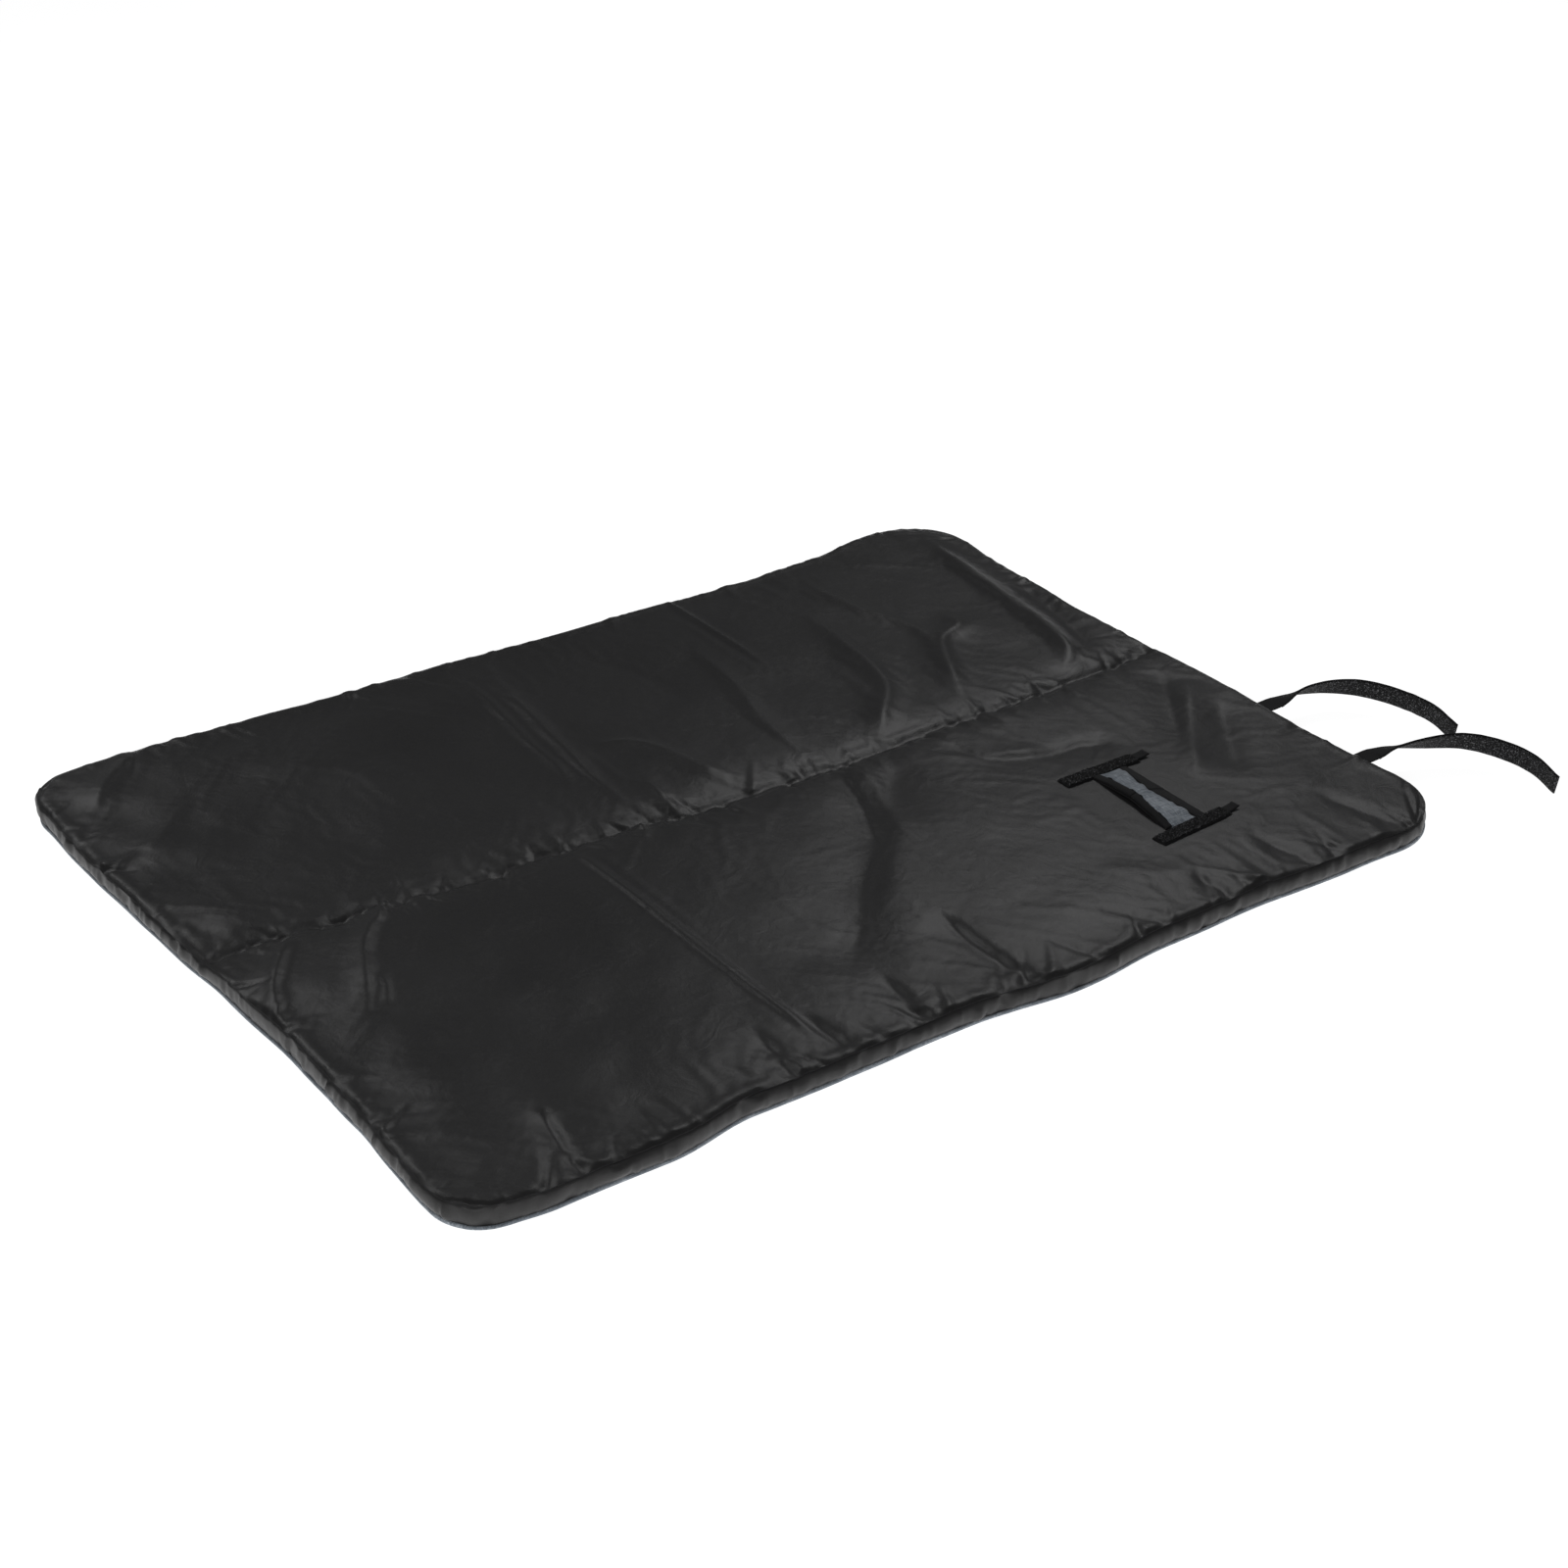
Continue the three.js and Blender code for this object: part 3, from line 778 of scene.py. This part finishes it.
# The handle in cross-section, at places t from its far end (0) to its near end (1). Each pair is in mm:
# across from the line between its ends, and the height above the cover.
HANDLE_SECTIONS = {
    # t: outer left, face left, face right, outer right
    0.00: ((-20, 0.4), (-12.5, 1.2), (11.0, 1.2), (18.5, 0.4)),
    0.10: ((-19.5, 1.6), (-12.3, 3.2), (9.0, 2.9), (18.9, 0.8)),
    0.25: ((-19, 3.6), (-12.0, 5.6), (6.0, 4.8), (19.5, 1.0)),
    0.50: ((-18, 4.8), (-11.0, 7.2), (2.6, 6.0), (21.0, 1.1)),
    0.75: ((-20, 4.0), (-14.0, 6.2), (6.8, 5.2), (22.5, 1.0)),
    0.90: ((-20.6, 1.7), (-14.0, 3.4), (10.8, 3.1), (23.8, 0.8)),
    1.00: ((-21, 0.4), (-14.0, 1.2), (13.6, 1.2), (24.5, 0.4)),
}
# The layers of the handle, each named as the node that it replaces: the two lines of a section that it
# lies between, its lift and thickness in mm, its quads across, and its material
HANDLE_LAYERS = {
    "handle_webbing": (0, 3, -1.0, 1.3, 24, TAPE),
    "handle_left_binding": (0, 1, 1.0, 1.7, 8, TAPE),
    "handle_right_binding": (2, 3, 1.0, 1.7, 10, TAPE),
    "handle_face": (1, 2, 0.6, 1.2, 16, HEATHER),
}


def cover_z(x, y):
    """Height of the top cover at a place away from its edges."""
    z = cover_points[:, 2].reshape(GRID[1] + 1, GRID[0] + 1)
    column = (np.asarray(x) / HALF_LENGTH + 1) / 2 * GRID[0]
    row = (np.asarray(y) / HALF_WIDTH + 1) / 2 * GRID[1]
    i, j = np.floor(column).astype(int), np.floor(row).astype(int)
    a, b = column - i, row - j
    return ((z[j, i] * (1 - a) + z[j, i + 1] * a) * (1 - b)
            + (z[j + 1, i] * (1 - a) + z[j + 1, i + 1] * a) * b)


def slab(name, upper, thickness, material, along, rough=0.0, seed=0, edge=0.3):
    """A closed soft slab: `upper` is a grid of points (rows, columns, 3), rounded down at its border."""
    rows, columns = upper.shape[0] - 1, upper.shape[1] - 1
    r, c = np.meshgrid(np.arange(rows + 1), np.arange(columns + 1), indexing="ij")
    step_r = np.linalg.norm(upper[1, 0] - upper[0, 0])
    step_c = np.linalg.norm(upper[0, 1] - upper[0, 0])
    border = np.minimum(np.minimum(r, rows - r) * step_r, np.minimum(c, columns - c) * step_c)
    normal = np.cross(np.gradient(upper, axis=1), np.gradient(upper, axis=0))
    normal /= np.linalg.norm(normal, axis=2)[..., None]
    drop = edge * thickness * (1 - np.sqrt(1 - (1 - np.clip(border / thickness, 0, 1)) ** 2))
    tufts = np.random.default_rng(seed).normal(0, rough, border.shape)
    top = upper + normal * (tufts - drop)[..., None]
    low = upper - normal * thickness + normal * drop[..., None]
    points = np.concatenate([top.reshape(-1, 3), low.reshape(-1, 3)])
    return new_piece(name, points, slab_faces(rows, columns), material,
                     np.concatenate([along.reshape(-1, 3)] * 2))


def tape_grid(start, end, width, cell, lift, waver, seed):
    """Points of a flat tape on the cover from start to end, and their places along and across it."""
    length = np.linalg.norm(end - start)
    ahead = (end - start) / length
    across = np.array([-ahead[1], ahead[0]])
    n, m = max(2, round(length / cell)), max(2, round(width / cell))
    a, b = np.meshgrid(np.linspace(0, length, n + 1), np.linspace(-width / 2, width / 2, m + 1))
    sway = waver * line_noise(a.ravel(), 0.022, seed).reshape(a.shape)
    b = b * (1 + 2 * waver / width * line_noise(a.ravel(), 0.009, seed + 1).reshape(a.shape)) + sway
    xy = start + a[..., None] * ahead + b[..., None] * across
    z = cover_z(xy[..., 0], xy[..., 1]) + lift
    return np.dstack([xy, z]), np.dstack([a, b, 0 * a])


def stitches(name, route, pitch, length, radius):
    """Short round stitches along a closed route of points, each sunk a little at both ends."""
    route = np.array([*route, route[0]])
    step = np.linalg.norm(np.diff(route, axis=0), axis=1)
    s = np.concatenate([[0], np.cumsum(step)])
    points, faces = [], []
    sides, rings = 6, 5
    for start in np.arange(pitch * 0.3, s[-1] - length, pitch):
        places = start + np.linspace(0, length, rings)
        centre = np.stack([np.interp(places, s, route[:, k]) for k in range(3)], -1)
        ahead = centre[-1] - centre[0]
        ahead /= np.linalg.norm(ahead)
        side = np.cross(ahead, (0, 0, 1))
        side /= np.linalg.norm(side)
        up = np.cross(side, ahead)
        base = len(points)
        for k in range(rings):
            bow = math.sin(math.pi * k / (rings - 1))
            thick = radius * (0.45 + 0.55 * bow)
            core = centre[k] - up * radius * 0.9 * (1 - bow)
            points += [core + thick * (math.cos(q) * side + math.sin(q) * up)
                       for q in np.linspace(0, 2 * math.pi, sides, endpoint=False)]
        last = base + (rings - 1) * sides
        faces += [[base + i for i in range(sides)][::-1], [last + i for i in range(sides)]]
        faces += [[base + k * sides + i, base + k * sides + (i + 1) % sides,
                   base + (k + 1) * sides + (i + 1) % sides, base + (k + 1) * sides + i]
                  for k in range(rings - 1) for i in range(sides)]
    return new_piece(name, points, faces, THREAD)


def build_patch(side, seed):
    """A hook-and-loop patch: backing tape, pile, pull tab and the stitching round it."""
    low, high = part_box(f"{side}_patch_backing")
    turn = PATCH_TURN[side]
    centre = np.array([(low.x + high.x) / 2, (low.y + high.y) / 2])
    ahead = np.array([math.cos(turn), math.sin(turn)])
    across = np.array([-ahead[1], ahead[0]])
    start, end = centre - ahead * PATCH_LENGTH / 2, centre + ahead * PATCH_LENGTH / 2

    points, place = tape_grid(start, end, PATCH_WIDTH, 1.1 * MM, 1.3 * MM, 0.4 * MM, seed)
    backing = slab(f"{side}_patch_backing_tape", points, 1.2 * MM, TAPE, place)

    inset = 1.2 * MM
    points, place = tape_grid(start + ahead * inset, end - ahead * inset, PATCH_WIDTH - 1.8 * MM, 0.6 * MM,
                              2.5 * MM, 0.7 * MM, seed)
    pile = slab(f"{side}_patch_loop_pile", points, 1.1 * MM, PILE, place, 0.42 * MM, seed)

    root = end + across * 0.5 * MM
    points, place = tape_grid(root - ahead * MM, root + ahead * TAB_LENGTH, TAB_WIDTH, 0.8 * MM, 2.1 * MM,
                              0.3 * MM, seed + 3)
    points[..., 2] += 1.6 * MM * np.clip((place[..., 0] - 0.004) / 0.01, 0, 1) ** 2
    tab = slab(f"{side}_patch_pull_tab", points, 1.5 * MM, TAPE, place)

    route = []
    half = np.array([PATCH_LENGTH / 2 - 1.6 * MM, PATCH_WIDTH / 2 - 1.6 * MM])
    corners = [np.array(corner) * half for corner in ((-1, -1), (1, -1), (1, 1), (-1, 1))]
    for corner, following in zip(corners, corners[1:] + corners[:1]):
        for t in np.linspace(0, 1, 40, endpoint=False):
            a, b = corner + (following - corner) * t
            spot = centre + ahead * a + across * b
            route.append([*spot, cover_z(spot[0], spot[1]) + 2.6 * MM])
    seam = stitches(f"{side}_patch_stitching", route, 3.4 * MM, 2.4 * MM, 0.28 * MM)

    for piece, slot in ((backing, "webbing"), (pile, "hook_and_loop"), (tab, "webbing"), (seam, "thread")):
        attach(piece, "near_half")
    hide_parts(f"{side}_patch_backing")
    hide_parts(f"{side}_patch_pile")
    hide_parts(f"{side}_patch_tab")


build_patch("far", 81)
build_patch("near", 91)


def handle_grid(first, last, lift, cells_across, t0, t1):
    """Points between two lines of the handle, from t0 to t1, and their places along and across it."""
    t = np.linspace(t0, t1, 45)
    across, height = [], []
    for k in (first, last):
        across.append(through(t, [(key, lines[k][0]) for key, lines in HANDLE_SECTIONS.items()]) * MM)
        arch = spline([(key, lines[k][1]) for key, lines in HANDLE_SECTIONS.items()], 16)
        height.append(np.interp(t, arch[:, 0], arch[:, 1]) * MM)
    start, end = np.array(HANDLE_ENDS["far"]), np.array(HANDLE_ENDS["near"])
    length = np.linalg.norm(end - start)
    ahead = (end - start) / length
    side = np.array([-ahead[1], ahead[0]])
    grid = []
    for a in np.linspace(0, 1, cells_across + 1):
        b = across[0] * (1 - a) + across[1] * a
        z = height[0] * (1 - a) + height[1] * a
        crown = 0.7 * MM * math.sin(math.pi * a) * np.sin(np.pi * t)
        xy = start + (end - start) * t[:, None] + side * b[:, None]
        grid.append(np.column_stack([xy, TOP + CROWN + z + lift + crown]))
    s, b = np.meshgrid(t * length, np.linspace(0, 20 * MM, cells_across + 1))
    return np.array(grid), np.dstack([s, b, 0 * s])


def build_handle():
    """Four layers, each in two pieces that meet in the middle."""
    for name, (first, last, lift, thickness, cells, material) in HANDLE_LAYERS.items():
        for half, t0, t1 in (("far", 0.0, 0.5), ("near", 0.5, 1.0)):
            points, place = handle_grid(first, last, lift * MM, cells, t0, t1)
            if material is HEATHER:
                s, across = place[..., 0], place[..., 1]
                wrinkle = (1.5 * lattice_noise(s + 0.3 * across, across * 0.3, 0.010, 31)
                           + 1.1 * lattice_noise(s - 0.3 * across, across * 0.3, 0.0048, 32))
                points[..., 2] += wrinkle * MM
            piece = slab(f"{name}_{half}", points, thickness * MM, material, place)
            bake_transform(piece)
            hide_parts(name)


build_handle()


# ---------------------------------------------------------------- closing straps

STRAP_WIDTH = 0.020
STRAP_ROUTES = {
    # points in mm from where the free strap starts, and its turn about its own line in degrees
    "far": ([(0, 0, 0), (8, 0, 0.8), (31, -1, 4.2), (61, -10, 3.8), (85, -32.5, 3.6), (100.5, -63.5, 1.6),
             (107.5, -97.5, -1.4), (106, -129.5, -8.4)], [0, 8, 42, 62, 78, 83, 86, 88]),
    "near": ([(0, 0, 0), (7, -0.5, 0.7), (24, -4.5, 3.2), (52, -17, 4.2), (81, -34, 4.2), (99.5, -62, 2.4),
              (108, -94, -1.4), (105, -126, -8.4)], [0, 6, 28, 56, 72, 84, 88, 88]),
}
STRAP_STEPS = 20              # points of a strap's line from one point of its route to the next
PILE_START = 44               # the point of that line where the pile starts


def strap_line(side):
    """Points of a strap's centre line from its sewn root to its tip, the directions across its face and out
    of it, and the distance along it."""
    root_low, root_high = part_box(f"{side}_strap_root")
    free = np.array([root_high.x + MM, (root_low.y + root_high.y) / 2, (root_low.z + root_high.z) / 2])
    route, turns = STRAP_ROUTES[side]
    root = [(-24, 0, -0.5), (-13, 0, -0.3)]
    line = spline([(*place, turn) for place, turn in zip(root + route, [0, 0] + turns)], STRAP_STEPS)
    centre = free + line[:, :3] * MM
    ahead = np.gradient(centre, axis=0)
    ahead /= np.linalg.norm(ahead, axis=1)[:, None]
    level = np.cross(ahead, (0, 0, 1))
    level /= np.linalg.norm(level, axis=1)[:, None]
    above = np.cross(level, ahead)
    turn = np.radians(line[:, 3])[:, None]
    across = level * np.cos(turn) + above * np.sin(turn)
    s = np.concatenate([[0], np.cumsum(np.linalg.norm(np.diff(centre, axis=0), axis=1))])
    return centre, across, np.cross(across, ahead), s


def build_strap(side, seed):
    """One closing strap: a tape from its sewn root to its tip, and a pile on the tape's free length."""
    centre, across, face, s = strap_line(side)
    wave = 0.25 * MM * line_noise(s, 0.008, seed)

    def band(name, width, offset, thickness, first, material, rough):
        b = np.linspace(-0.5, 0.5, 21) * width
        points = np.array([centre + across * (k + wave)[:, None] + face * offset for k in b])[:, first:]
        places = np.meshgrid(s[first:], b)
        place = np.dstack([*places, 0 * places[0]])
        piece = slab(name, points[::-1], thickness, material, place[::-1], rough, seed, 0.35)
        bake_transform(piece)
        return piece

    tape = band(f"{side}_strap_tape", STRAP_WIDTH, 0.5 * MM, 1.0 * MM, 0, TAPE, 0.0)
    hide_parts(f"{side}_strap_webbing", f"{side}_strap_root")
    pile = band(f"{side}_strap_pile", STRAP_WIDTH - 1.2 * MM, -0.6 * MM, 1.3 * MM, PILE_START, PILE,
                0.2 * MM)
    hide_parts(f"{side}_strap_hook_tape")


build_strap("far", 101)
build_strap("near", 111)


# ---------------------------------------------------------------- camera, light and floor

CAMERA_TARGET = Vector((0.070, 0.0313, 0.0))
CAMERA_AZIMUTH, CAMERA_ELEVATION = math.radians(-35.39), math.radians(28.69)
CAMERA_DISTANCE = 2.6007
CAMERA_LENS, CAMERA_SENSOR = 66.45, 36        # in mm
back = Vector((math.sin(CAMERA_AZIMUTH) * math.cos(CAMERA_ELEVATION),
               -math.cos(CAMERA_AZIMUTH) * math.cos(CAMERA_ELEVATION), math.sin(CAMERA_ELEVATION)))
camera_data = bpy.data.cameras.new("camera")
camera_data.lens = CAMERA_LENS
camera_data.sensor_width = CAMERA_SENSOR
camera = bpy.data.objects.new("camera", camera_data)
camera.location = CAMERA_TARGET + back * CAMERA_DISTANCE
camera.rotation_euler = back.to_track_quat("Z", "Y").to_euler()
bpy.context.scene.collection.objects.link(camera)
bpy.context.scene.camera = camera


def area_light(name, place, aim, size, power):
    data = bpy.data.lights.new(name, "AREA")
    data.shape = "RECTANGLE"
    data.size, data.size_y = size
    data.energy = power
    light = bpy.data.objects.new(name, data)
    light.location = place
    light.rotation_euler = (Vector(place) - Vector(aim)).to_track_quat("Z", "Y").to_euler()
    bpy.context.scene.collection.objects.link(light)


area_light("back_softbox", (1.5, 1.0, 1.9), (0.35, 0.1, 0), (0.6, 0.5), 9.5)
area_light("back_left_softbox", (-0.45, 1.7, 1.75), (-0.35, 0, 0), (0.4, 0.35), 8)
area_light("front_fill", (-1.6, -1.8, 1.2), (0, 0, 0), (1.2, 0.8), 14)

world = bpy.data.worlds.new("studio")
world.use_nodes = True
sky = world.node_tree.nodes["Background"]
sky.inputs["Color"].default_value = (0.97, 0.98, 1.0, 1)
sky.inputs["Strength"].default_value = 0.11
bpy.context.scene.world = world

floor_look = Nodes("floor_paper", (0.5, 0.5, 0.5), 0.9, 0.0)
floor_look.shader.inputs["Emission Color"].default_value = (1, 1, 1, 1)
floor_look.shader.inputs["Emission Strength"].default_value = 0.92
FLOOR_HALF = 14.0
floor_corners = [(-FLOOR_HALF, -FLOOR_HALF, 0), (FLOOR_HALF, -FLOOR_HALF, 0), (FLOOR_HALF, FLOOR_HALF, 0),
                 (-FLOOR_HALF, FLOOR_HALF, 0)]
floor = new_piece("floor", floor_corners, [[0, 1, 2, 3]], floor_look.material)
bpy.context.scene.view_settings.view_transform = "Standard"
